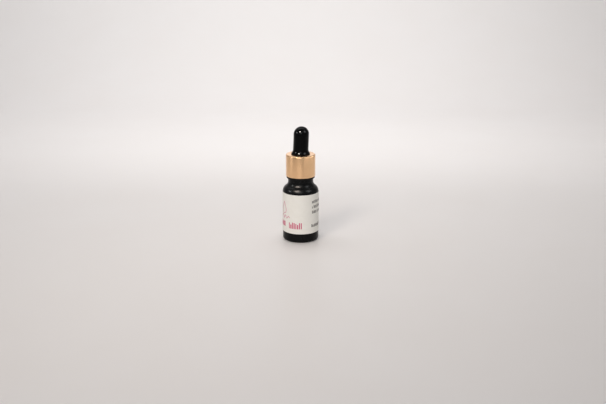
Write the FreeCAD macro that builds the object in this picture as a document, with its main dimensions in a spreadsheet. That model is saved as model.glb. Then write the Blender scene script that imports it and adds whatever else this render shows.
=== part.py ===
import FreeCAD, Part
import Sketcher
import math
import os
import re

# A dropper bottle: a glass bottle with a paper label and a soft wiper in its neck, and a dropper made of
# a screw cap with a metal shell, a rubber bulb and a glass pipette.
# Millimetres, +Z up. The origin is on the axis at the base. The label's seam faces +Y.

TURN = 360
LEFT = 1
RIGHT = -1

SIZES = [
    # Glass bottle.
    ("body_radius", 12.35, "outside of the glass body"),
    ("bottle_height", 57.5, "base to the top of the lip"),
    ("glass_wall", 1.6, "wall of the body"),
    ("floor_height", 2.8, "base to the inside floor"),
    ("heel_round", 1.7, "round between base and wall"),
    ("floor_round", 1.4, "round between floor and wall, inside"),
    ("punt_radius", 9.2, "hollow under the base"),
    ("punt_depth", 1.0, "depth of that hollow at its middle"),
    ("shoulder_height", 34.3, "base to where the shoulder starts"),
    ("shoulder_round", 4.8, "outward round of the shoulder"),
    ("neck_round", 3.8, "inward round from shoulder to neck"),
    ("neck_step", 0.75, "smooth neck beyond the thread's root"),
    ("neck_drop", 11.3, "lip to the top of the smooth neck"),
    ("bore_radius", 5.2, "hole through the neck"),
    ("lip_round", 0.5, "rounds on the lip"),
    # Screw thread, shared by the bottle and the cap.
    ("thread_pitch", 3.0, "rise in one turn"),
    ("thread_root", 7.9, "radius of the neck between the ridges"),
    ("thread_depth", 0.85, "height of the bottle's ridge"),
    ("thread_turns", 1.5, "turns of ridge on the bottle"),
    ("thread_foot", 1.5, "width of a ridge at its root"),
    ("thread_crest", 0.7, "width of a ridge at its top"),
    ("thread_sunk", 0.3, "how deep a ridge's foot runs into its wall"),
    ("thread_drop", 8.3, "lip to the middle of the ridge's first end"),
    ("thread_gap", 0.2, "radial clearance between bottle and cap"),
    ("cap_thread_turns", 1.6, "turns of ridge in the cap"),
    # Paper label.
    ("label_height", 6.6, "base to the label's lower edge"),
    ("label_width", 27.6, "lower edge to upper edge"),
    ("paper", 0.13, "thickness of the label"),
    ("glue", 0.02, "glue between label and glass"),
    ("seam_angle", 7, "gap between the label's ends, in degrees"),
    # Neck wiper.
    ("wiper_flange", 0.55, "thickness of the flange on the lip"),
    ("wiper_edge", 0.5, "how far the flange stays inside the lip"),
    ("wiper_depth", 6.0, "lip to the wiper's lower end"),
    ("wiper_wall", 0.6, "wall of its sleeve"),
    ("wiper_cone", 1.6, "height of the cone that wipes"),
    ("wiper_gap", 0.1, "clearance round the pipette"),
    # Screw cap.
    ("roof", 1.0, "thickness of the cap's roof"),
    ("skirt_wall", 0.5, "wall of the cap's skirt, without ribs"),
    ("rim_height", 1.3, "how far the skirt shows under the shell"),
    ("rim_inset", 0.1, "how far the rim stays inside the shell's bore"),
    ("rib_count", 36, "ribs round the skirt"),
    ("rib_width", 0.6, "width of a rib"),
    ("rib_depth", 0.32, "how far a rib stands out from the skirt"),
    ("rib_inset", 1.2, "ribs stop this far short of the shell's two ends"),
    # Metal shell.
    ("collar_length", 15.0, "shell from lower edge to top"),
    ("shell_wall", 0.3, "thickness of the metal"),
    ("shell_round", 0.8, "outside round of the top edge"),
    ("shell_lap", 0.3, "the shell's hole beyond the roof's hole"),
    ("press_gap", 0.03, "clearance between parts pressed together"),
    # Rubber bulb.
    ("socket_wall", 1.1, "rubber round the pipette's flared lip"),
    ("bulb_neck_wall", 1.5, "rubber round the pipette in the roof"),
    ("bulb_height", 19.0, "collar's top to the bulb's top"),
    ("bulb_wall", 1.2, "wall of the bulb"),
    ("flare_lap", 0.93, "foot of the bulb beyond the shell's hole"),
    ("flare_edge", 0.5, "upright edge of that foot"),
    ("flare_round", 4.6, "inward round from foot to bulb"),
    ("flange", 0.85, "thickness of the bulb's sealing flange"),
    ("flange_edge", 0.3, "how far the sealing flange stays inside the lip"),
    ("rubber_gap", 0.1, "clearance of the rubber to other parts"),
    ("seat_gap", 0.05, "clearance over and under a seated face"),
    # Glass pipette.
    ("pipette_radius", 3.5, "outside of the tube"),
    ("pipette_wall", 1.0, "wall of the tube"),
    ("pipette_head", 2.6, "how far the tube stands above the collar"),
    ("lip_out", 0.55, "how far the lip at the top flares out"),
    ("lip_edge", 0.7, "upright edge of the flared lip"),
    ("tip_height", 8.0, "base to the pipette's tip"),
    ("tip_radius", 1.6, "outside at the tip"),
    ("tip_bore", 0.8, "hole in the tip"),
    ("tip_taper", 9.0, "length of the drawn taper"),
    ("tip_straight", 2.0, "length of the narrow end"),
]

PLACES = [
    # Heights and radii that follow from the sizes, in the order in which they build on each other.
    ("neck_radius", "thread_root + neck_step"),
    ("neck_height", "bottle_height - neck_drop"),
    ("thread_height", "bottle_height - thread_drop"),
    ("shoulder_in", "body_radius - neck_radius"),
    ("shoulder_sweep", "shoulder_round + neck_round"),
    ("shoulder_rise", "sqrt(2 * shoulder_sweep * shoulder_in - shoulder_in ^ 2)"),
    ("inner_radius", "body_radius - glass_wall"),
    ("inner_in", "inner_radius - bore_radius"),
    ("inner_round", "shoulder_round - glass_wall"),
    ("inner_neck_round", "neck_round + glass_wall"),
    ("inner_rise", "sqrt(2 * shoulder_sweep * inner_in - inner_in ^ 2)"),
    ("thread_top", "thread_root + thread_depth"),
    ("skirt_radius", "thread_top + thread_gap"),
    ("cap_thread_top", "thread_root + thread_gap"),
    ("cap_thread_height", "thread_height + thread_pitch / 2 - thread_pitch"),
    ("wiper_top", "bottle_height + wiper_flange"),
    ("wiper_radius", "bore_radius - press_gap"),
    ("wiper_hole", "pipette_radius + wiper_gap"),
    ("flange_bottom", "wiper_top + seat_gap"),
    ("flange_top", "flange_bottom + flange"),
    ("roof_bottom", "flange_top + seat_gap"),
    ("roof_top", "roof_bottom + roof"),
    ("collar_top", "roof_top + shell_wall"),
    ("collar_bottom", "collar_top - collar_length"),
    ("skirt_outside", "skirt_radius + skirt_wall"),
    ("rib_radius", "skirt_outside + rib_depth"),
    ("shell_inside", "rib_radius + press_gap"),
    ("collar_radius", "shell_inside + shell_wall"),
    ("rim_radius", "shell_inside - rim_inset"),
    ("rim_bottom", "collar_bottom - rim_height"),
    ("lip_radius", "pipette_radius + lip_out"),
    ("socket_radius", "pipette_radius + rubber_gap"),
    ("socket_recess", "lip_radius + rubber_gap"),
    ("bulb_radius", "socket_recess + socket_wall"),
    ("bulb_neck", "socket_radius + bulb_neck_wall"),
    ("roof_hole", "bulb_neck + rubber_gap"),
    ("shell_hole", "roof_hole + shell_lap"),
    ("flare_radius", "shell_hole + flare_lap"),
    ("flange_radius", "thread_root - flange_edge"),
    ("bulb_foot", "collar_top + seat_gap"),
    ("bulb_top", "collar_top + bulb_height"),
    ("bulb_inside", "bulb_radius - bulb_wall"),
    ("flare_sweep", "flare_round - (flare_radius - bulb_radius)"),
    ("flare_rise", "sqrt(flare_round ^ 2 - flare_sweep ^ 2)"),
    ("flare_top", "bulb_foot + flare_edge + flare_rise"),
    ("pipette_bore", "pipette_radius - pipette_wall"),
    ("pipette_top", "collar_top + pipette_head"),
    ("lip_bottom", "pipette_top - lip_edge - lip_out"),
]

OWNERS = {name: "Sizes." for name, value, note in SIZES}
OWNERS.update({name: "Places." for name, formula in PLACES})


def full(formula):
    """Expression in which every size and place is written with the object that holds it."""
    return re.sub(r"[a-z_]+", lambda word: OWNERS.get(word.group(), "") + word.group(), formula)


def make_sizes(doc):
    """Spreadsheet of the driving dimensions, and the places worked out from them."""
    sheet = doc.addObject("Spreadsheet::Sheet", "Sizes")
    for row, (name, value, note) in enumerate(SIZES, start=1):
        sheet.set(f"A{row}", name)
        sheet.set(f"B{row}", str(value))
        sheet.set(f"C{row}", note)
        sheet.setAlias(f"B{row}", name)
    doc.recompute()
    places = doc.addObject("App::VarSet", "Places")
    for name, formula in PLACES:
        places.addProperty("App::PropertyFloat", name, "Places")
        places.setExpression(name, full(formula))
    doc.recompute()


def number(doc, formula):
    """Value of a formula of sizes and places."""
    return float(doc.Places.evalExpression(full(formula)))


def new_body(doc, label):
    """Empty body with its own label and placement."""
    body = doc.addObject("PartDesign::Body", label)
    body.Label = label
    body.Placement = FreeCAD.Placement()
    return body


def plane(body, role):
    """One of the body's own origin planes or axes."""
    return next(item for item in body.Origin.OriginFeatures if item.Role == role)


def new_sketch(body, name, role):
    """Empty sketch on one of the body's origin planes."""
    sketch = body.newObject("Sketcher::SketchObject", name)
    sketch.AttachmentSupport = [(plane(body, role), "")]
    sketch.MapMode = "FlatFace"
    return sketch


def arc_between(start, end, radius, bend):
    """Short arc from start to end that bends to the left or right, and its centre side."""
    chord = end - start
    half = chord.Length / 2
    side = FreeCAD.Vector(-chord.y, chord.x, 0).normalize() * bend
    centre = (start + end) * 0.5 + side * math.sqrt(max(radius ** 2 - half ** 2, 0))
    first, last = (start, end) if bend == LEFT else (end, start)
    angles = [math.atan2(point.y - centre.y, point.x - centre.x) for point in (first, last)]
    circle = Part.Circle(centre, FreeCAD.Vector(0, 0, 1), radius)
    return Part.ArcOfCircle(circle, *angles)


def hold(sketch, kind, place, formula):
    """Dimension on the sketch, bound to a formula."""
    value = number(sketch.Document, formula)
    index = sketch.addConstraint(Sketcher.Constraint(kind, *place, value))
    sketch.setExpression(f"Constraints[{index}]", full(formula))


def pin(sketch, point, across, up):
    """Fix a point of the sketch at (across, up); a zero puts it on the sketch's axis."""
    vertical_axis, horizontal_axis = -2, -1
    if across == "0":
        sketch.addConstraint(Sketcher.Constraint("PointOnObject", *point, vertical_axis))
    else:
        hold(sketch, "DistanceX", (-1, 1, *point), across)
    if up == "0":
        sketch.addConstraint(Sketcher.Constraint("PointOnObject", *point, horizontal_axis))
    else:
        hold(sketch, "DistanceY", (-1, 1, *point), up)


def draw(sketch, corners):
    """Closed outline through (across, up) corners.

    A corner with two more values, a radius and a bend, is reached by an arc; the others by a line.
    """
    doc = sketch.Document
    points = [FreeCAD.Vector(number(doc, corner[0]), number(doc, corner[1]), 0) for corner in corners]
    pieces = []
    for index, corner in enumerate(corners):
        start, end = points[index - 1], points[index]
        if len(corner) == 2:
            piece = sketch.addGeometry(Part.LineSegment(start, end))
            pieces.append((piece, 1, 2))
            continue
        radius, bend = corner[2:]
        piece = sketch.addGeometry(arc_between(start, end, number(doc, radius), bend))
        pieces.append((piece, 1, 2) if bend == LEFT else (piece, 2, 1))
    for index, corner in enumerate(corners):
        before, after = pieces[index], pieces[(index + 1) % len(pieces)]
        sketch.addConstraint(Sketcher.Constraint("Coincident", before[0], before[2], after[0], after[1]))
        pin(sketch, (before[0], before[2]), corner[0], corner[1])
        if len(corner) > 2:
            hold(sketch, "Radius", (before[0],), corner[2])


def turned(body, name, corners):
    """Solid of revolution about the body's vertical axis."""
    sketch = new_sketch(body, name + "Outline", "XZ_Plane")
    draw(sketch, corners)
    solid = body.newObject("PartDesign::Revolution", name)
    solid.Profile = sketch
    solid.ReferenceAxis = (sketch, ["V_Axis"])
    solid.Angle = TURN
    body.Document.recompute()
    return solid


def ridge(body, name, root, top, middle, turns):
    """Right-hand thread ridge from the root radius to the top radius, added to the body."""
    sketch = new_sketch(body, name + "Outline", "XZ_Plane")
    draw(sketch, [
        (root, f"{middle} - thread_foot / 2"),
        (top, f"{middle} - thread_crest / 2"),
        (top, f"{middle} + thread_crest / 2"),
        (root, f"{middle} + thread_foot / 2"),
    ])
    helix = body.newObject("PartDesign::AdditiveHelix", name)
    helix.Profile = sketch
    helix.ReferenceAxis = (sketch, ["V_Axis"])
    helix.Mode = "pitch-turns-angle"
    helix.setExpression("Pitch", full("thread_pitch"))
    helix.setExpression("Turns", full(turns))
    body.Document.recompute()
    return helix


def glass_bottle(doc):
    """Blown body with a heel, a hollow base, a two-arc shoulder and a threaded neck."""
    body = new_body(doc, "glass_bottle")
    outer_mid = "shoulder_height + shoulder_rise * shoulder_round / shoulder_sweep"
    inner_mid = "shoulder_height + inner_rise * inner_round / shoulder_sweep"
    turned(body, "Glass", [
        ("0", "punt_depth"),
        ("punt_radius", "0", "(punt_radius ^ 2 + punt_depth ^ 2) / (2 * punt_depth)", RIGHT),
        ("body_radius - heel_round", "0"),
        ("body_radius", "heel_round", "heel_round", LEFT),
        ("body_radius", "shoulder_height"),
        ("body_radius - shoulder_in * shoulder_round / shoulder_sweep", outer_mid, "shoulder_round", LEFT),
        ("neck_radius", "shoulder_height + shoulder_rise", "neck_round", RIGHT),
        ("neck_radius", "neck_height"),
        ("thread_root", "neck_height + neck_radius - thread_root"),
        ("thread_root", "bottle_height - lip_round"),
        ("thread_root - lip_round", "bottle_height", "lip_round", LEFT),
        ("bore_radius + lip_round", "bottle_height"),
        ("bore_radius", "bottle_height - lip_round", "lip_round", LEFT),
        ("bore_radius", "shoulder_height + inner_rise"),
        ("inner_radius - inner_in * inner_round / shoulder_sweep", inner_mid, "inner_neck_round", LEFT),
        ("inner_radius", "shoulder_height", "inner_round", RIGHT),
        ("inner_radius", "floor_height + floor_round"),
        ("inner_radius - floor_round", "floor_height", "floor_round", RIGHT),
        ("0", "floor_height"),
    ])
    ridge(body, "Thread", "thread_root - thread_sunk", "thread_top", "thread_height", "thread_turns")
    return body


def wrap_label(doc):
    """Paper glued round the body, with a narrow gap between its ends at the back."""
    body = new_body(doc, "wrap_label")
    paper = turned(body, "Paper", [
        ("body_radius + glue", "label_height"),
        ("body_radius + glue + paper", "label_height"),
        ("body_radius + glue + paper", "label_height + label_width"),
        ("body_radius + glue", "label_height + label_width"),
    ])
    paper.Midplane = True
    paper.setExpression("Angle", f"{TURN} - " + full("seam_angle"))
    body.Placement = FreeCAD.Placement(FreeCAD.Vector(), FreeCAD.Rotation(FreeCAD.Vector(0, 0, 1), -TURN / 4))
    return body


def neck_wiper(doc):
    """Soft plug in the bore: a flange on the lip, a sleeve and a cone that wipes the pipette."""
    body = new_body(doc, "neck_wiper")
    bottom = "bottle_height - wiper_depth"
    turned(body, "Plug", [
        ("wiper_radius", "bottle_height"),
        ("thread_root - wiper_edge", "bottle_height"),
        ("thread_root - wiper_edge", "wiper_top"),
        ("wiper_radius - wiper_wall", "wiper_top"),
        ("wiper_radius - wiper_wall", f"{bottom} + wiper_cone"),
        ("wiper_hole", f"{bottom} + wiper_wall"),
        ("wiper_hole", bottom),
        ("wiper_radius - wiper_wall", bottom),
        ("wiper_radius", f"{bottom} + wiper_wall"),
    ])
    return body


def inner_cap(doc):
    """Threaded closure: a skirt with ribs that grip the shell, a plain rim and a roof with a hole."""
    body = new_body(doc, "inner_cap")
    turned(body, "Closure", [
        ("skirt_radius", "rim_bottom"),
        ("rim_radius", "rim_bottom"),
        ("rim_radius", "collar_bottom"),
        ("skirt_outside", "collar_bottom + rim_radius - skirt_outside"),
        ("skirt_outside", "roof_top - rib_inset"),
        ("rib_radius - shell_round + shell_wall", "roof_top"),
        ("roof_hole", "roof_top"),
        ("roof_hole", "roof_bottom"),
        ("skirt_radius", "roof_bottom"),
    ])
    ridge(body, "Thread", "skirt_radius + thread_sunk", "cap_thread_top", "cap_thread_height",
          "cap_thread_turns")
    ribs(body)
    return body


def ribs(body):
    """Upright ribs round the skirt, from the rim to just below the roof."""
    sketch = new_sketch(body, "RibOutline", "XY_Plane")
    sketch.setExpression(".AttachmentOffset.Base.z", full("collar_bottom + rib_inset"))
    draw(sketch, [
        ("skirt_outside - skirt_wall / 2", "-rib_width / 2"),
        ("rib_radius", "-rib_width / 2"),
        ("rib_radius", "rib_width / 2"),
        ("skirt_outside - skirt_wall / 2", "rib_width / 2"),
    ])
    rib = body.newObject("PartDesign::Pad", "Rib")
    rib.Profile = sketch
    rib.setExpression("Length", full("roof_top - collar_bottom - 2 * rib_inset"))
    body.Document.recompute()
    pattern = body.newObject("PartDesign::PolarPattern", "Ribs")
    pattern.Originals = [rib]
    pattern.Axis = (plane(body, "Z_Axis"), [""])
    pattern.Angle = TURN
    pattern.setExpression("Occurrences", full("rib_count"))
    body.Tip = pattern
    body.Document.recompute()


def collar_shell(doc):
    """Drawn metal cup over the cap, with a rounded top edge and a hole for the bulb."""
    body = new_body(doc, "collar_shell")
    turned(body, "Shell", [
        ("shell_inside", "collar_bottom"),
        ("collar_radius", "collar_bottom"),
        ("collar_radius", "collar_top - shell_round"),
        ("collar_radius - shell_round", "collar_top", "shell_round", LEFT),
        ("shell_hole", "collar_top"),
        ("shell_hole", "roof_top"),
        ("collar_radius - shell_round", "roof_top"),
        ("shell_inside", "collar_top - shell_round", "shell_round - shell_wall", RIGHT),
    ])
    return body


def rubber_bulb(doc):
    """Hollow teat with a flared foot on the collar and a sealing flange under the cap's roof."""
    body = new_body(doc, "rubber_bulb")
    turned(body, "Teat", [
        ("socket_radius", "flange_bottom"),
        ("flange_radius", "flange_bottom"),
        ("flange_radius", "flange_top"),
        ("bulb_neck", "flange_top"),
        ("bulb_neck", "bulb_foot"),
        ("flare_radius", "bulb_foot"),
        ("flare_radius", "bulb_foot + flare_edge"),
        ("bulb_radius", "flare_top", "flare_round", RIGHT),
        ("bulb_radius", "bulb_top - bulb_radius"),
        ("0", "bulb_top", "bulb_radius", LEFT),
        ("0", "bulb_top - bulb_wall"),
        ("bulb_inside", "bulb_top - bulb_radius", "bulb_inside", RIGHT),
        ("bulb_inside", "pipette_top + socket_recess - bulb_inside + rubber_gap"),
        ("socket_recess", "pipette_top + rubber_gap"),
        ("socket_recess", "lip_bottom + lip_out - rubber_gap"),
        ("socket_radius", "lip_bottom - rubber_gap"),
    ])
    return body


def glass_pipette(doc):
    """Glass tube with a flared lip at the top and a drawn taper to a narrow tip."""
    body = new_body(doc, "glass_pipette")
    taper_end = "tip_height + tip_straight"
    turned(body, "Tube", [
        ("tip_bore", "tip_height"),
        ("tip_radius", "tip_height"),
        ("tip_radius", taper_end),
        ("pipette_radius", f"{taper_end} + tip_taper"),
        ("pipette_radius", "lip_bottom"),
        ("lip_radius", "lip_bottom + lip_out"),
        ("lip_radius", "pipette_top - lip_edge / 2"),
        ("lip_radius - lip_edge / 2", "pipette_top", "lip_edge / 2", LEFT),
        ("pipette_bore + lip_out", "pipette_top"),
        ("pipette_bore", "pipette_top - lip_edge"),
        ("pipette_bore", f"{taper_end} + tip_taper"),
        ("tip_bore", taper_end),
    ])
    return body


def check(doc, bodies):
    """Stop if any object failed, or a body is not one valid closed solid."""
    for item in doc.Objects:
        if {"Invalid", "Error"} & set(item.State):
            raise RuntimeError(f"{item.Label} failed: {item.State}")
    for body in bodies:
        shape = body.Shape
        if shape.isNull() or not shape.isValid() or len(shape.Solids) != 1:
            raise RuntimeError(f"{body.Label} is not one valid solid")


def main():
    """Build the parts and write one file for each."""
    doc = FreeCAD.newDocument("DropperBottle")
    make_sizes(doc)
    makers = (glass_bottle, wrap_label, neck_wiper, inner_cap, collar_shell, rubber_bulb, glass_pipette)
    bodies = [make(doc) for make in makers]
    doc.recompute()
    check(doc, bodies)
    os.makedirs("parts", exist_ok=True)
    for body in bodies:
        body.Shape.exportStep(f"parts/{body.Label}.step")
        box = body.Shape.BoundBox
        print(f"{body.Label}: {body.Shape.Volume:.1f} mm3, z {box.ZMin:.2f} to {box.ZMax:.2f}")


main()
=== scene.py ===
"""Visual model of a small dropper bottle: black glass bottle, paper label, gold collar and rubber bulb."""

import logging
import math
from dataclasses import dataclass, field
from enum import Enum
from typing import Callable, Optional, Union

import bmesh
import bpy
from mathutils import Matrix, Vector


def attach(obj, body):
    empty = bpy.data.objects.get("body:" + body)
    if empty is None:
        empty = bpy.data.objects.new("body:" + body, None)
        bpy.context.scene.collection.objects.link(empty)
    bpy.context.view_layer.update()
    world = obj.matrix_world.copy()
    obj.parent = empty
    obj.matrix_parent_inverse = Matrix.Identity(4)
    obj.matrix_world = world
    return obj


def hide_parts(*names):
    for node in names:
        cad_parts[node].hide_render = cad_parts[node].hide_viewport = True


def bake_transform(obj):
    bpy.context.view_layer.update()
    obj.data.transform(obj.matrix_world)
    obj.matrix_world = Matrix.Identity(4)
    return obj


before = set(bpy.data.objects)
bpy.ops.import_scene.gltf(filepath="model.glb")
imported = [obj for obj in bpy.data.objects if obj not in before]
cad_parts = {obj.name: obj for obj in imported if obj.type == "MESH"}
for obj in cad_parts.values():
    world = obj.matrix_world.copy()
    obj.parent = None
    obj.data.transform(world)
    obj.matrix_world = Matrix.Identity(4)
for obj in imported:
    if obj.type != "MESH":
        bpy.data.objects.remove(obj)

LOG = logging.getLogger("dropper_bottle")
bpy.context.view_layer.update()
MM = 0.001

# How finely bends and whole turns are divided.
BEND_STEPS = 10
TURN_STEPS = 192

# A ring of a smaller radius, in millimetres, is a pole; points nearer than the weld, in metres, become one.
POLE_RADIUS = 1e-9
WELD = 1e-7

# Finer layers in the noise of the colour patches and of the relief.
DRIFT_DETAIL = 2
GRAIN_DETAIL = 3

# Sockets of the Mix node that carry colours.
MIX_FIRST, MIX_SECOND, MIX_RESULT = 6, 7, 2

Point = tuple[float, float]
Key = Union[str, int]


# ---------------------------------------------------------------- shared helpers


def linear(code: str) -> tuple[float, float, float, float]:
    """Turn an sRGB hex colour into a linear one.

    Args:
        code: The colour as six hex digits.

    Returns:
        Linear red, green and blue, and an alpha of one.
    """
    parts = [int(code[i:i + 2], 16) / 255 for i in (0, 2, 4)]
    # The sRGB curve: a straight line near black, and a power above it.
    lit = [c / 12.92 if c <= 0.04045 else ((c + 0.055) / 1.055) ** 2.4 for c in parts]
    return (lit[0], lit[1], lit[2], 1.0)


def add_node(tree: bpy.types.NodeTree, kind: str, settings: Optional[dict[str, object]] = None,
             values: Optional[dict[Key, object]] = None,
             links: Optional[dict[Key, bpy.types.NodeSocket]] = None) -> bpy.types.Node:
    """Add a node to a shader or geometry tree.

    Args:
        tree: The tree that gets the node.
        kind: The node's type.
        settings: Properties of the node itself.
        values: Input values, by the input's name or number.
        links: Sockets that feed inputs, by the input's name or number.

    Returns:
        The new node.
    """
    node = tree.nodes.new(kind)
    for name, value in (settings or {}).items():
        setattr(node, name, value)
    for key, value in (values or {}).items():
        node.inputs[key].default_value = value
    for key, socket in (links or {}).items():
        tree.links.new(socket, node.inputs[key])
    return node


def arc(centre: Point, radius: float, start: float, end: float, steps: int = BEND_STEPS) -> list[Point]:
    """Points along an arc of a section.

    Args:
        centre: Centre of the arc, as radius and height.
        radius: Radius of the arc.
        start: First angle in degrees, 0 outwards and 90 upwards.
        end: Last angle in degrees.
        steps: Number of stretches.

    Returns:
        The points, both ends included.
    """
    angles = [math.radians(start + (end - start) * i / steps) for i in range(steps + 1)]
    return [(centre[0] + radius * math.cos(a), centre[1] + radius * math.sin(a)) for a in angles]


def turned(name: str, section: list[Point], material: bpy.types.Material,
           sharp: float = 40) -> bpy.types.Object:
    """Turn a closed section about the Z axis into a closed mesh.

    Args:
        name: Name of the piece.
        section: Radius and height of each point in millimetres, anticlockwise; a radius of zero is a pole.
        material: Finish of the piece.
        sharp: Edges that turn by more than this many degrees stay crisp.

    Returns:
        The new object, with its place in its mesh.
    """
    mesh = bmesh.new()
    rings: list[list[bmesh.types.BMVert]] = []
    for radius, height in section:
        count = 1 if radius < POLE_RADIUS else TURN_STEPS
        turns = [math.tau * i / TURN_STEPS for i in range(count)]
        rings.append([mesh.verts.new((radius * MM * math.cos(a), radius * MM * math.sin(a), height * MM))
                      for a in turns])
    for lower, upper in zip(rings, rings[1:] + rings[:1]):
        if len(lower) == 1 and len(upper) == 1:
            continue
        for i in range(TURN_STEPS):
            j = (i + 1) % TURN_STEPS
            corners = [lower[i % len(lower)], lower[j % len(lower)],
                       upper[j % len(upper)], upper[i % len(upper)]]
            mesh.faces.new(list(dict.fromkeys(corners)))
    return finished(name, mesh, material, sharp)


def finished(name: str, mesh: bmesh.types.BMesh, material: bpy.types.Material,
             sharp: float) -> bpy.types.Object:
    """Turn a working mesh into a smooth-shaded object with outward faces.

    Args:
        name: Name of the piece.
        mesh: The working mesh, which is freed.
        material: Finish of the piece.
        sharp: Edges that turn by more than this many degrees stay crisp.

    Returns:
        The new object.
    """
    bmesh.ops.remove_doubles(mesh, verts=mesh.verts, dist=WELD)
    bmesh.ops.recalc_face_normals(mesh, faces=mesh.faces)
    for face in mesh.faces:
        face.smooth = True
    for edge in mesh.edges:
        edge.smooth = len(edge.link_faces) == 2 and edge.calc_face_angle(0) < math.radians(sharp)
    data = bpy.data.meshes.new(name)
    mesh.to_mesh(data)
    mesh.free()
    data.materials.append(material)
    piece = bpy.data.objects.new(name, data)
    bpy.context.scene.collection.objects.link(piece)
    return piece


def dress(node: str, material: bpy.types.Material) -> bpy.types.Object:
    """Give a CAD node its finish.

    Args:
        node: Name of the node.
        material: Its finish.

    Returns:
        The node's object.
    """
    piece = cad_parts[node]
    piece.data.materials.clear()
    piece.data.materials.append(material)
    return piece


# ---------------------------------------------------------------- finishes


@dataclass(frozen=True)
class Finish:
    """A surface finish made of one Principled shader, with fine relief and colour drift.

    Lengths are in millimetres: drift_size is the width of the colour patches and grain_size that of
    the relief, whose height is grain_height.
    """

    name: str
    colour: str
    drift_colour: str
    roughness: float
    roughness_drift: float = 0.05
    drift_size: float = 4.0
    grain_size: float = 0.4
    grain_height: float = 0.004
    metallic: float = 0.0
    ior: float = 1.5
    sockets: dict[str, object] = field(default_factory=dict)

    def coordinates(self, tree: bpy.types.NodeTree) -> bpy.types.NodeSocket:
        """Place on the surface that the patterns read."""
        return add_node(tree, "ShaderNodeTexCoord").outputs["Object"]

    def noise(self, tree: bpy.types.NodeTree, size: float, detail: float) -> bpy.types.NodeSocket:
        """Add noise whose patches are a given size.

        Args:
            tree: The material's tree.
            size: Width of a patch in millimetres.
            detail: Finer layers added to it.

        Returns:
            The socket with the noise's strength.
        """
        node = add_node(tree, "ShaderNodeTexNoise", values={"Scale": 1 / (size * MM), "Detail": detail},
                        links={"Vector": self.coordinates(tree)})
        return node.outputs["Fac"]

    def grain_links(self, tree: bpy.types.NodeTree) -> dict[Key, bpy.types.NodeSocket]:
        """Further shader inputs that follow the grain; none on an even surface."""
        return {}

    def material(self) -> bpy.types.Material:
        """Build the finish as a material.

        Returns:
            The new material.
        """
        made = bpy.data.materials.new(self.name)
        made.use_nodes = True
        tree = made.node_tree
        tree.nodes.clear()
        drift = self.noise(tree, self.drift_size, DRIFT_DETAIL)
        colour = add_node(tree, "ShaderNodeMix", {"data_type": "RGBA"},
                          {MIX_FIRST: linear(self.colour), MIX_SECOND: linear(self.drift_colour)},
                          {0: drift})
        low, high = self.roughness - self.roughness_drift, self.roughness + self.roughness_drift
        gloss = add_node(tree, "ShaderNodeMapRange", values={"To Min": low, "To Max": high},
                         links={"Value": drift})
        relief = add_node(tree, "ShaderNodeBump",
                          values={"Strength": 1.0, "Distance": self.grain_height * MM},
                          links={"Height": self.noise(tree, self.grain_size, GRAIN_DETAIL)})
        values: dict[Key, object] = {"Metallic": self.metallic, "IOR": self.ior, **self.sockets}
        shader = add_node(tree, "ShaderNodeBsdfPrincipled", values=values, links={
            "Base Color": colour.outputs[MIX_RESULT], "Roughness": gloss.outputs["Result"],
            "Normal": relief.outputs["Normal"], **self.grain_links(tree)})
        add_node(tree, "ShaderNodeOutputMaterial", links={"Surface": shader.outputs["BSDF"]})
        return made


@dataclass(frozen=True)
class SpunFinish(Finish):
    """A finish whose relief runs in rings about the Z axis, as on metal spun or drawn in a lathe."""

    def coordinates(self, tree: bpy.types.NodeTree) -> bpy.types.NodeSocket:
        """Place on the surface as distance from the axis and height, so that the pattern runs in rings.

        Args:
            tree: The material's tree.

        Returns:
            The socket with that place.
        """
        place = add_node(tree, "ShaderNodeTexCoord").outputs["Object"]
        split = add_node(tree, "ShaderNodeSeparateXYZ", links={0: place})
        flat = add_node(tree, "ShaderNodeCombineXYZ", links={0: split.outputs[0], 1: split.outputs[1]})
        radius = add_node(tree, "ShaderNodeVectorMath", {"operation": "LENGTH"},
                          links={0: flat.outputs[0]})
        ring = add_node(tree, "ShaderNodeCombineXYZ",
                        links={0: radius.outputs["Value"], 2: split.outputs[2]})
        return ring.outputs[0]

    def grain_links(self, tree: bpy.types.NodeTree) -> dict[Key, bpy.types.NodeSocket]:
        """The grain's direction, round the Z axis, which stretches lights across it."""
        tangent = add_node(tree, "ShaderNodeTangent", {"direction_type": "RADIAL", "axis": "Z"})
        return {"Tangent": tangent.outputs["Tangent"]}


# Blown soda-lime glass coloured through to near black: a hard gloss whose long slow waves bend reflections.
BLACK_GLASS = Finish("black_soda_lime_glass", "050607", "080A0B", 0.27, 0.03, drift_size=9, grain_size=5,
                     grain_height=0.02, ior=1.52, sockets={"Specular IOR Level": 0.12})

# Coated label paper: a dull warm white with a faint cloudiness and fibres just under the coating.
LABEL_PAPER = Finish("coated_label_paper", "EDEBE5", "E6E3DC", 0.55, 0.06, drift_size=3, grain_size=0.25,
                     grain_height=0.006)

# Gold-anodised aluminium, drawn and spun: soft upright light bands with fine rings in them.
GOLD_ALUMINIUM = SpunFinish("gold_anodised_aluminium", "F5CA9C", "EFC294", 0.22, 0.02, drift_size=0.5,
                            grain_size=0.25, grain_height=0.0015, metallic=1.0,
                            sockets={"Anisotropic": 0.8, "Anisotropic Rotation": 0.25})

# Nitrile rubber from a polished mould: deep black, small sharp lights that blur at their edges.
BLACK_RUBBER = Finish("black_nitrile_rubber", "030303", "050505", 0.12, 0.02, drift_size=6, grain_size=0.5,
                      grain_height=0.002, ior=1.5, sockets={"Specular IOR Level": 0.1})

# Moulded polypropylene: black with a low sheen.
BLACK_PLASTIC = Finish("black_polypropylene", "040404", "070707", 0.42, 0.06, drift_size=5, grain_size=0.35,
                       grain_height=0.006, ior=1.49, sockets={"Specular IOR Level": 0.2})

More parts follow.
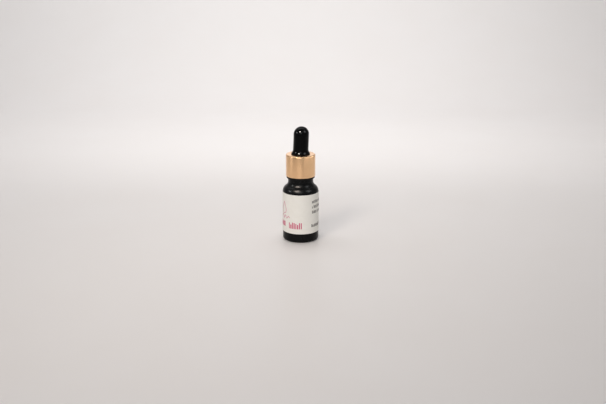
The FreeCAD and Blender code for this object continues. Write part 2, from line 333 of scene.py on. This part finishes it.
# Low-density polyethylene: milky and a little see-through, waxy to the eye.
MILKY_PLASTIC = Finish("milky_polyethylene", "E4E8E4", "D8DDD9", 0.38, 0.05, drift_size=4, grain_size=0.6,
                       grain_height=0.004, ior=1.51, sockets={"Subsurface Weight": 0.4,
                                                              "Subsurface Scale": 0.001})

# Drawn borosilicate tube: clear, with faint draw waves.
CLEAR_GLASS = Finish("clear_borosilicate_glass", "FFFFFF", "F4FAF8", 0.02, 0.01, drift_size=8, grain_size=4,
                     grain_height=0.006, ior=1.47, sockets={"Transmission Weight": 1.0})


class Ink(Enum):
    """Printing inks: dull, and slightly mottled where the coating took them unevenly."""

    ROSE = Finish("rose_print_ink", "C4446C", "CE5A7E", 0.5, 0.05, drift_size=0.8, grain_size=0.3,
                  grain_height=0.002)
    BLUSH = Finish("blush_print_ink", "D488A0", "DB98AC", 0.5, 0.05, drift_size=0.8, grain_size=0.3,
                   grain_height=0.002)
    GREY = Finish("grey_print_ink", "5A5754", "66625F", 0.5, 0.05, drift_size=0.8, grain_size=0.3,
                  grain_height=0.002)


# ---------------------------------------------------------------- printed marks


@dataclass(frozen=True)
class StrokeRow:
    """A row of plain upright strokes printed round the label, in millimetres and degrees.

    Angles are measured from the front, to the right as the bottle is seen.
    """

    name: str
    ink: Ink
    start: float
    end: float
    height: float
    tall: float
    stroke: float
    pitch: float
    space: float
    seed: int


class StrokeTree:
    """Geometry node tree that makes one row of strokes and bends it round the label."""

    INPUTS = {"Radius": "NodeSocketFloat", "Start": "NodeSocketFloat", "Row Height": "NodeSocketFloat",
              "Stroke Height": "NodeSocketFloat", "Stroke Width": "NodeSocketFloat",
              "Pitch": "NodeSocketFloat", "Count": "NodeSocketInt", "Space": "NodeSocketFloat",
              "Film": "NodeSocketFloat", "Seed": "NodeSocketInt", "Ink": "NodeSocketMaterial"}

    # A corner's radius as a share of the stroke's width, and its stretches.
    CORNER_SHARE = 0.3
    CORNER_STEPS = 3

    # The film's two sides become one closed mesh where they are nearer than this, in metres.
    MERGE = 1e-6

    # Least and most width and height of a stroke, as shares of the row's own.
    LEAST_SIZE = (0.75, 0.62, 1.0)
    MOST_SIZE = (1.25, 1.0, 1.0)

    # Output of the Random Value node that carries yes or no.
    YES_OR_NO = 3

    def __init__(self) -> None:
        """Build the tree with its named inputs."""
        self.tree = bpy.data.node_groups.new("stroke_row", "GeometryNodeTree")
        for name, kind in self.INPUTS.items():
            self.tree.interface.new_socket(name, in_out="INPUT", socket_type=kind)
        self.tree.interface.new_socket("Geometry", in_out="OUTPUT", socket_type="NodeSocketGeometry")
        self.inputs = add_node(self.tree, "NodeGroupInput").outputs
        strokes = self.strokes(self.stroke())
        add_node(self.tree, "NodeGroupOutput", links={0: self.inked(self.bent(strokes))})

    def math(self, operation: str, first: Union[bpy.types.NodeSocket, float],
             second: Union[bpy.types.NodeSocket, float] = 0.0) -> bpy.types.NodeSocket:
        """Add arithmetic on two numbers or sockets.

        Args:
            operation: What is done with them.
            first: The first number, or the socket that carries it.
            second: The second one.

        Returns:
            The socket with the result.
        """
        pair = {0: first, 1: second}
        numbers = {key: item for key, item in pair.items() if isinstance(item, (int, float))}
        sockets = {key: item for key, item in pair.items() if key not in numbers}
        return add_node(self.tree, "ShaderNodeMath", {"operation": operation}, numbers, sockets).outputs[0]

    def stroke(self) -> bpy.types.NodeSocket:
        """One stroke: a flat bar with rounded corners that stands on its baseline.

        Returns:
            The socket with the stroke, a thin closed film.
        """
        bar = add_node(self.tree, "GeometryNodeCurvePrimitiveQuadrilateral", links={
            "Width": self.inputs["Stroke Width"], "Height": self.inputs["Stroke Height"]})
        corner = self.math("MULTIPLY", self.inputs["Stroke Width"], self.CORNER_SHARE)
        rounded = add_node(self.tree, "GeometryNodeFilletCurve", {"mode": "POLY"},
                           {"Count": self.CORNER_STEPS}, {"Curve": bar.outputs["Curve"], "Radius": corner})
        face = add_node(self.tree, "GeometryNodeFillCurve", {"mode": "NGONS"},
                        links={"Curve": rounded.outputs["Curve"]})
        film = add_node(self.tree, "GeometryNodeExtrudeMesh", links={
            "Mesh": face.outputs["Mesh"], "Offset Scale": self.inputs["Film"]})
        under = add_node(self.tree, "GeometryNodeFlipFaces", links={"Mesh": face.outputs["Mesh"]})
        both = add_node(self.tree, "GeometryNodeJoinGeometry", links={"Geometry": film.outputs["Mesh"]})
        self.tree.links.new(under.outputs["Mesh"], both.inputs["Geometry"])
        closed = add_node(self.tree, "GeometryNodeMergeByDistance", values={"Distance": self.MERGE},
                          links={"Geometry": both.outputs["Geometry"]})
        lift = add_node(self.tree, "ShaderNodeCombineXYZ",
                        links={1: self.math("MULTIPLY", self.inputs["Stroke Height"], 0.5)})
        return add_node(self.tree, "GeometryNodeTransform", links={
            "Geometry": closed.outputs["Geometry"], "Translation": lift.outputs[0]}).outputs["Geometry"]

    def strokes(self, stroke: bpy.types.NodeSocket) -> bpy.types.NodeSocket:
        """The flat row: strokes of uneven height and width, with a few left out between words.

        Args:
            stroke: The socket with one stroke.

        Returns:
            The socket with the row.
        """
        step = add_node(self.tree, "ShaderNodeCombineXYZ", links={0: self.inputs["Pitch"]})
        line = add_node(self.tree, "GeometryNodeMeshLine", links={
            "Count": self.inputs["Count"], "Offset": step.outputs[0]})
        gap = add_node(self.tree, "FunctionNodeRandomValue", {"data_type": "BOOLEAN"},
                       links={"Probability": self.inputs["Space"], "Seed": self.inputs["Seed"]})
        words = add_node(self.tree, "GeometryNodeDeleteGeometry", links={
            "Geometry": line.outputs["Mesh"], "Selection": gap.outputs[self.YES_OR_NO]})
        size = add_node(self.tree, "FunctionNodeRandomValue", {"data_type": "FLOAT_VECTOR"},
                        {0: self.LEAST_SIZE, 1: self.MOST_SIZE}, {"Seed": self.inputs["Seed"]})
        row = add_node(self.tree, "GeometryNodeInstanceOnPoints", links={
            "Points": words.outputs["Geometry"], "Instance": stroke, "Scale": size.outputs[0]})
        return add_node(self.tree, "GeometryNodeRealizeInstances",
                        links={"Geometry": row.outputs["Instances"]}).outputs["Geometry"]

    def bent(self, row: bpy.types.NodeSocket) -> bpy.types.NodeSocket:
        """The row wrapped round the label's radius, starting at its first angle.

        Args:
            row: The socket with the flat row.

        Returns:
            The socket with the bent row.
        """
        place = add_node(self.tree, "GeometryNodeInputPosition").outputs[0]
        flat = add_node(self.tree, "ShaderNodeSeparateXYZ", links={0: place}).outputs
        turn = self.math("DIVIDE", flat[0], self.inputs["Radius"])
        angle = self.math("ADD", turn, self.inputs["Start"])
        radius = self.math("ADD", self.inputs["Radius"], flat[2])
        across = self.math("MULTIPLY", radius, self.math("SINE", angle))
        depth = self.math("MULTIPLY", self.math("MULTIPLY", radius, self.math("COSINE", angle)), -1.0)
        up = self.math("ADD", flat[1], self.inputs["Row Height"])
        target = add_node(self.tree, "ShaderNodeCombineXYZ", links={0: across, 1: depth, 2: up})
        return add_node(self.tree, "GeometryNodeSetPosition", links={
            "Geometry": row, "Position": target.outputs[0]}).outputs["Geometry"]

    def inked(self, row: bpy.types.NodeSocket) -> bpy.types.NodeSocket:
        """The row as plain mesh in its ink."""
        plain = add_node(self.tree, "GeometryNodeRealizeInstances", links={"Geometry": row})
        return add_node(self.tree, "GeometryNodeSetMaterial", links={
            "Geometry": plain.outputs["Geometry"], "Material": self.inputs["Ink"]}).outputs["Geometry"]

    def row(self, spec: StrokeRow, radius: float, film: float,
            ink: bpy.types.Material) -> bpy.types.Object:
        """Make one row as a plain mesh object.

        Args:
            spec: The row.
            radius: Radius that the row lies on, in millimetres.
            film: Thickness of the ink, in millimetres.
            ink: Its material.

        Returns:
            The row's object.
        """
        length = math.radians(spec.end - spec.start) * radius
        values = {"Radius": radius * MM, "Start": math.radians(spec.start), "Row Height": spec.height * MM,
                  "Stroke Height": spec.tall * MM, "Stroke Width": spec.stroke * MM,
                  "Pitch": spec.pitch * MM, "Count": int(length / spec.pitch), "Space": spec.space,
                  "Film": film * MM, "Seed": spec.seed, "Ink": ink}
        maker = bpy.data.objects.new(spec.name + "_maker", bpy.data.meshes.new(spec.name + "_maker"))
        bpy.context.scene.collection.objects.link(maker)
        modifier = maker.modifiers.new("strokes", "NODES")
        modifier.node_group = self.tree
        for item in self.tree.interface.items_tree:
            if item.in_out == "INPUT":
                modifier[item.identifier] = values[item.name]
        evaluated = maker.evaluated_get(bpy.context.evaluated_depsgraph_get())
        plain = bpy.data.meshes.new_from_object(evaluated)
        plain.name = spec.name
        bpy.data.objects.remove(maker)
        piece = bpy.data.objects.new(spec.name, plain)
        bpy.context.scene.collection.objects.link(piece)
        return piece


# ---------------------------------------------------------------- sub-assemblies


@dataclass
class Bottle:
    """The glass bottle with its label, print and wiper.

    Sizes are in millimetres. Angles are in degrees from the front, to the right as the bottle is seen.
    """

    label_radius: float = 12.5
    film: float = 0.02
    rows: tuple[StrokeRow, ...] = (
        StrokeRow("bold_strokes_left", Ink.ROSE, -104, -42, 10.9, 3.9, 0.85, 1.25, 0.05, 5),
        StrokeRow("bold_strokes_right", Ink.ROSE, -38, 10.5, 10.2, 4.6, 0.85, 1.25, 0.03, 8),
        StrokeRow("grey_strokes_top", Ink.GREY, 40, 104, 27.9, 2.3, 0.45, 0.72, 0.1, 1),
        StrokeRow("grey_strokes_middle", Ink.GREY, 40, 92, 24.2, 2.3, 0.45, 0.72, 0.1, 2),
        StrokeRow("grey_strokes_lower", Ink.GREY, 40, 98, 20.6, 2.3, 0.45, 0.72, 0.1, 4),
        StrokeRow("grey_strokes_foot", Ink.GREY, 38, 96, 10.9, 2.4, 0.5, 0.75, 0.15, 6),
    )
    drop_angle: float = -62
    drop_height: float = 24.4
    drop_size: float = 3.1
    drop_stretch: float = 1.35
    drop_point: float = 1.5
    drop_steps: int = 40
    line_width: float = 0.5
    wave_start: float = -74
    wave_end: float = -37
    wave_height: float = 17.9
    wave_swing: float = 1.5
    wave_count: float = 2.6
    wave_fade: float = 0.6
    wave_steps: int = 70

    def build(self) -> None:
        """Dress the CAD pieces and print the label."""
        dress("glass_bottle", BLACK_GLASS.material())
        dress("wrap_label", LABEL_PAPER.material())
        dress("neck_wiper", MILKY_PLASTIC.material())
        inks = {ink: ink.value.material() for ink in Ink}
        tree = StrokeTree()
        pieces = [tree.row(row, self.label_radius, self.film, inks[row.ink]) for row in self.rows]
        pieces.append(self.line("drop_outline", self.drop(), inks[Ink.BLUSH], closed=True))
        pieces.append(self.line("wavy_rule", self.wave(), inks[Ink.BLUSH], closed=False))
        for piece in pieces:
            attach(piece, "bottle")
            LOG.info("printed %s: %d faces", piece.name, len(piece.data.polygons))

    def drop(self) -> list[Point]:
        """Outline of a falling drop.

        Returns:
            Its points, as distance round the label and height.
        """
        middle = math.radians(self.drop_angle) * self.label_radius
        points = []
        for i in range(self.drop_steps):
            turn = math.tau * i / self.drop_steps
            width = self.drop_size * math.sin(turn) * math.sin(turn / 2) ** self.drop_point
            rise = self.drop_stretch * self.drop_size * math.cos(turn)
            points.append((middle + width, self.drop_height + rise))
        return points

    def wave(self) -> list[Point]:
        """A wavy rule that dies out to the right.

        Returns:
            Its points, as distance round the label and height.
        """
        points = []
        for i in range(self.wave_steps + 1):
            part = i / self.wave_steps
            angle = math.radians(self.wave_start + (self.wave_end - self.wave_start) * part)
            swing = self.wave_swing * (1 - self.wave_fade * part)
            rise = swing * math.sin(math.tau * self.wave_count * part)
            points.append((angle * self.label_radius, self.wave_height + rise))
        return points

    def line(self, name: str, points: list[Point], ink: bpy.types.Material,
             closed: bool) -> bpy.types.Object:
        """Print a thin line on the label.

        Args:
            name: Name of the piece.
            points: The line, as distance round the label and height in millimetres.
            ink: Its material.
            closed: Whether the line returns to its start.

        Returns:
            The line as a thin closed film that follows the label.
        """
        mesh = bmesh.new()
        count = len(points)
        rows = []
        for i, point in enumerate(points):
            before = points[(i - 1) % count] if closed or i else point
            after = points[(i + 1) % count] if closed or i < count - 1 else point
            along = (Vector(after) - Vector(before)).normalized()
            side = Vector((-along.y, along.x)) * self.line_width / 2
            corners = [(Vector(point) + side * s, lift) for s, lift in ((-1, 0), (1, 0), (1, 1), (-1, 1))]
            rows.append([mesh.verts.new(self.on_label(flat, self.film * lift)) for flat, lift in corners])
        pairs = zip(rows, rows[1:] + rows[:1]) if closed else zip(rows, rows[1:])
        for first, second in pairs:
            for i in range(4):
                j = (i + 1) % 4
                mesh.faces.new((first[i], first[j], second[j], second[i]))
        if not closed:
            mesh.faces.new(rows[0])
            mesh.faces.new(list(reversed(rows[-1])))
        return finished(name, mesh, ink, sharp=30)

    def on_label(self, flat: Vector, lift: float) -> Vector:
        """Point of the label's surface for a distance round it, a height and a lift off the paper."""
        angle, radius = flat.x / self.label_radius, self.label_radius + lift
        return Vector((radius * math.sin(angle), -radius * math.cos(angle), flat.y)) * MM


@dataclass
class Collar:
    """The drawn metal shell and the threaded plastic closure inside it, in millimetres."""

    radius: float = 10.1
    bottom: float = 45.3
    top: float = 60.3
    wall: float = 0.3
    round: float = 0.8
    hole: float = 5.5
    hem: float = 0.14
    hem_steps: int = 5

    def build(self) -> None:
        """Turn the shell and dress the closure."""
        shell = turned("gold_collar", self.section(), GOLD_ALUMINIUM.material())
        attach(shell, "screw_cap")
        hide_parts("collar_shell")
        dress("inner_cap", BLACK_PLASTIC.material())
        LOG.info("collar: %d faces", len(shell.data.polygons))

    def section(self) -> list[Point]:
        """Section of the shell wall, with its lower edge and the edge of its hole rolled smooth.

        Returns:
            Radius and height of its points, anticlockwise.
        """
        inner = self.radius - self.wall
        centre = (self.radius - self.round, self.top - self.round)
        return (
            arc((inner + self.hem, self.bottom + self.hem), self.hem, 180, 270, self.hem_steps)
            + arc((self.radius - self.hem, self.bottom + self.hem), self.hem, -90, 0, self.hem_steps)
            + arc(centre, self.round, 0, 90)
            + arc((self.hole + self.hem, self.top - self.hem), self.hem, 90, 180, self.hem_steps)
            + [(self.hole, self.top - self.wall)]
            + arc(centre, self.round - self.wall, 90, 0)
        )


@dataclass
class Dropper:
    """The rubber bulb and the glass pipette that it holds, in millimetres."""

    EDGE_STEPS = 4
    FOOT_STEPS = 5
    FLARE_STEPS = 16
    SIDE_STEPS = 8
    DOME_STEPS = 24
    HOLLOW_STEPS = 16
    TAPER_STEPS = 16

    radius: float = 5.25
    top: float = 79.3
    wall: float = 1.2
    foot: float = 60.35
    foot_radius: float = 6.43
    foot_edge: float = 0.5
    foot_round: float = 4.6
    edge_round: float = 0.22
    flange_bottom: float = 58.1
    flange_top: float = 58.95
    flange_radius: float = 7.6
    neck_radius: float = 5.1
    socket: float = 3.6
    recess: float = 4.15
    recess_top: float = 63.0
    recess_drop: float = 1.4
    still_height: float = 1.0
    lean: float = 0.038

    tube_radius: float = 3.5
    tube_wall: float = 1.0
    tube_top: float = 62.9
    lip_out: float = 0.55
    lip_edge: float = 0.7
    tip: float = 8.0
    tip_radius: float = 1.6
    tip_bore: float = 0.8
    tip_straight: float = 2.0
    taper: float = 9.0

    def build(self) -> None:
        """Make the bulb and the pipette, and put the pipette on its body."""
        bulb = turned("rubber_teat", self.bulb_section(), BLACK_RUBBER.material())
        self.tilt(bulb)
        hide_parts("rubber_bulb")
        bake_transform(bulb)
        tube = turned("pipette_tube", self.tube_section(), CLEAR_GLASS.material(), sharp=60)
        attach(tube, "pipette")
        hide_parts("glass_pipette")
        LOG.info("bulb: %d faces, pipette: %d faces", len(bulb.data.polygons), len(tube.data.polygons))

    def bulb_section(self) -> list[Point]:
        """Section of the bulb wall: flange, neck, flared foot, straight side, round top and hollow.

        Returns:
            Radius and height of its points, anticlockwise.
        """
        sweep = self.foot_round - (self.foot_radius - self.radius)
        rise = math.sqrt(self.foot_round ** 2 - sweep ** 2)
        flare_top = self.foot + self.foot_edge + rise
        low = 180 + math.degrees(math.asin(rise / self.foot_round))
        inside = self.radius - self.wall
        dome = self.top - self.radius
        side = dome - flare_top
        edge = self.edge_round
        return (
            [(self.socket, self.flange_bottom)]
            + arc((self.flange_radius - edge, self.flange_bottom + edge), edge, -90, 0, self.EDGE_STEPS)
            + arc((self.flange_radius - edge, self.flange_top - edge), edge, 0, 90, self.EDGE_STEPS)
            + [(self.neck_radius, self.flange_top), (self.neck_radius, self.foot)]
            + arc((self.foot_radius - edge, self.foot + edge), edge, -90, 0, self.FOOT_STEPS)
            + arc((self.radius + self.foot_round, flare_top), self.foot_round, low, 180, self.FLARE_STEPS)
            + [(self.radius, flare_top + side * i / self.SIDE_STEPS) for i in range(1, self.SIDE_STEPS)]
            + arc((0, dome), self.radius, 0, 90, self.DOME_STEPS)
            + arc((0, dome), inside, 90, 0, self.HOLLOW_STEPS)
            + [(inside, self.recess_top + self.recess - inside), (self.recess, self.recess_top),
               (self.recess, self.recess_top - self.lip_edge),
               (self.socket, self.recess_top - self.recess_drop)]
        )

    def tilt(self, bulb: bpy.types.Object) -> None:
        """Lean the bulb a little over its foot, as a soft bulb sits.

        Args:
            bulb: The bulb's object.
        """
        start = (self.foot + self.foot_edge) * MM
        for vertex in bulb.data.vertices:
            vertex.co.x += self.lean * max(vertex.co.z - start, 0)

    def tube_section(self) -> list[Point]:
        """Section of the tube wall, with fire-polished ends.

        Returns:
            Radius and height of its points, anticlockwise.
        """
        bore = self.tube_radius - self.tube_wall
        taper_end = self.tip + self.tip_straight
        tip_round = (self.tip_radius - self.tip_bore) / 2
        lip_low = self.tube_top - self.lip_edge - self.lip_out
        half = self.lip_edge / 2
        return (
            arc((self.tip_bore + tip_round, self.tip + tip_round), tip_round, 180, 360)
            + self.ease(self.tip_radius, taper_end, self.tube_radius, taper_end + self.taper)
            + [(self.tube_radius, lip_low), (self.tube_radius + self.lip_out, lip_low + self.lip_out)]
            + arc((self.tube_radius + self.lip_out - half, self.tube_top - half), half, 0, 90)
            + arc((bore + self.lip_out, self.tube_top - self.lip_edge), self.lip_edge, 90, 140)
            + [(bore, self.tube_top - 2 * self.lip_edge)]
            + self.ease(bore, taper_end + self.taper, self.tip_bore, taper_end)
        )

    def ease(self, radius: float, height: float, last_radius: float, last_height: float) -> list[Point]:
        """Points of a drawn taper that starts and ends without a corner.

        Args:
            radius: Radius where it starts.
            height: Height where it starts.
            last_radius: Radius where it ends.
            last_height: Height where it ends.

        Returns:
            Radius and height of its points.
        """
        parts = [i / self.TAPER_STEPS for i in range(self.TAPER_STEPS + 1)]
        return [(radius + (last_radius - radius) * t * t * (3 - 2 * t), height + (last_height - height) * t)
                for t in parts]


# ---------------------------------------------------------------- studio


@dataclass(frozen=True)
class Softbox:
    """A square lamp that faces a point, placed by direction as seen from that point.

    The point is on the bottle's axis or behind it, by so many metres. Azimuth is in degrees from the
    front, to the right; distance and size are in metres, power is in watts, and spread is the full
    angle of its beam. A lamp that is for the gloss of a few pieces lights only those.
    """

    AIM_HEIGHT = 0.04

    name: str
    azimuth: float
    elevation: float
    distance: float
    size: float
    power: float
    colour: str = "FFFFFF"
    spread: float = 180
    behind: float = 0.0
    gloss_of: tuple[str, ...] = ()

    def build(self) -> None:
        """Put the lamp up."""
        data = bpy.data.lights.new(self.name, "AREA")
        data.size = self.size
        data.energy = self.power
        data.color = linear(self.colour)[:3]
        data.spread = math.radians(self.spread)
        lamp = bpy.data.objects.new(self.name, data)
        turn, rise = math.radians(self.azimuth), math.radians(self.elevation)
        away = Vector((math.sin(turn) * math.cos(rise), -math.cos(turn) * math.cos(rise),
                       math.sin(rise)))
        lamp.location = Vector((0, self.behind, self.AIM_HEIGHT)) + away * self.distance
        lamp.rotation_euler = (-away).to_track_quat("-Z", "Y").to_euler()
        bpy.context.scene.collection.objects.link(lamp)
        if self.gloss_of:
            lit = bpy.data.collections.new(self.name + "_pieces")
            for name in self.gloss_of:
                lit.objects.link(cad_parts.get(name) or bpy.data.objects[name])
            lamp.light_linking.receiver_collection = lit
            lamp.visible_diffuse = False


# The pieces whose own lights come from the glint lamps.
RUBBER_PIECES = ("rubber_teat",)
GLASS_PIECES = ("glass_bottle",)
BLACK_PIECES = RUBBER_PIECES + GLASS_PIECES
GOLD_PIECES = ("gold_collar",)


@dataclass
class Studio:
    """A pale sweep, soft lamps and the camera, in metres and degrees."""

    # The room's lamps come first. The glints light only gloss: small ones on the black pieces, and low
    # ones that give the gold its upright bands.
    lamps: tuple[Softbox, ...] = (
        Softbox("wall_lamp", 0, 45, 0.9, 0.6, 2.6, behind=0.9),
        Softbox("wall_left_lamp", -40, 45, 1.0, 0.6, 0.8, behind=0.9),
        Softbox("wall_low_lamp", 0, 25, 0.8, 0.5, 0.6, behind=1.0),
        Softbox("front_lamp", -8, 30, 0.9, 0.5, 0.42, spread=70),
        Softbox("key_lamp", -32, 42, 0.7, 0.15, 0.18, "FFF2E4", spread=70),
        Softbox("bulb_key_glint", -29, 46, 0.7, 0.12, 12, "FFF4EA", gloss_of=RUBBER_PIECES),
        Softbox("glass_key_glint", -29, 46, 0.7, 0.28, 9.0, "FFEFE2", gloss_of=GLASS_PIECES),
        Softbox("side_glint", -78, 25, 0.7, 0.10, 1.4, gloss_of=BLACK_PIECES),
        Softbox("fill_glint", 63, 38, 0.7, 0.30, 1.8, gloss_of=BLACK_PIECES),
        Softbox("collar_left_glint", -76, 8, 0.7, 0.24, 0.51, gloss_of=GOLD_PIECES),
        Softbox("collar_front_glint", 50, 8, 0.6, 0.50, 0.74, gloss_of=GOLD_PIECES),
        Softbox("collar_right_glint", 84, 8, 0.7, 0.24, 0.29, gloss_of=GOLD_PIECES),
        Softbox("collar_edge_glint", 104, 10, 0.7, 0.24, 0.58, gloss_of=GOLD_PIECES),
        Softbox("collar_back_glint", -172, 15, 0.6, 0.20, 0.03, gloss_of=GOLD_PIECES),
    )
    world_colour: str = "F4F3F3"
    world_strength: float = 0.44
    paper_colour: str = "E3E0DF"
    paper_drift_colour: str = "E1DDDB"
    sweep_start: float = 0.45
    sweep_round: float = 0.4
    sweep_steps: int = 24
    sweep_height: float = 1.6
    sweep_half_width: float = 2.5
    sweep_front: float = -1.6
    camera_place: tuple[float, float, float] = (0.00163, -0.57419, 0.19909)
    camera_pitch: float = 16.773
    camera_lens: float = 51.45

    def build(self) -> None:
        """Set up floor, light and camera."""
        self.sweep()
        for lamp in self.lamps:
            lamp.build()
        world = bpy.data.worlds.new("soft_room")
        world.use_nodes = True
        shade = world.node_tree.nodes["Background"].inputs
        shade["Color"].default_value = linear(self.world_colour)
        shade["Strength"].default_value = self.world_strength
        bpy.context.scene.world = world
        bpy.context.scene.view_settings.view_transform = "Standard"
        self.camera()

    def sweep(self) -> None:
        """Paper sweep: floor, curve and back wall in one sheet."""
        paper = Finish("pale_sweep_paper", self.paper_colour, self.paper_drift_colour, 0.36, 0.02,
                       drift_size=60, grain_size=1.5, grain_height=0.004,
                       sockets={"Specular IOR Level": 0.28})
        profile = [(self.sweep_front, 0.0)]
        centre = (self.sweep_start, self.sweep_round)
        profile += arc(centre, self.sweep_round, -90, 0, self.sweep_steps)
        profile.append((self.sweep_start + self.sweep_round, self.sweep_height))
        mesh = bmesh.new()
        rows = [[mesh.verts.new((x, y, z)) for x in (-self.sweep_half_width, self.sweep_half_width)]
                for y, z in profile]
        for low, high in zip(rows, rows[1:]):
            mesh.faces.new((low[0], low[1], high[1], high[0]))
        finished("paper_sweep", mesh, paper.material(), sharp=40)

    def camera(self) -> None:
        """Camera in front of the bottle, looking slightly down."""
        data = bpy.data.cameras.new("camera")
        data.lens = self.camera_lens
        view = bpy.data.objects.new("camera", data)
        view.location = self.camera_place
        view.rotation_euler = (math.radians(90 - self.camera_pitch), 0, 0)
        bpy.context.scene.collection.objects.link(view)
        bpy.context.scene.camera = view


def main() -> None:
    """Build the bottle, the collar, the dropper and the studio in order."""
    logging.basicConfig(level=logging.INFO, format="%(name)s: %(message)s")
    makers: list[Callable[[], None]] = [Bottle().build, Collar().build, Dropper().build, Studio().build]
    for make in makers:
        make()


if __name__ == "__main__":
    main()
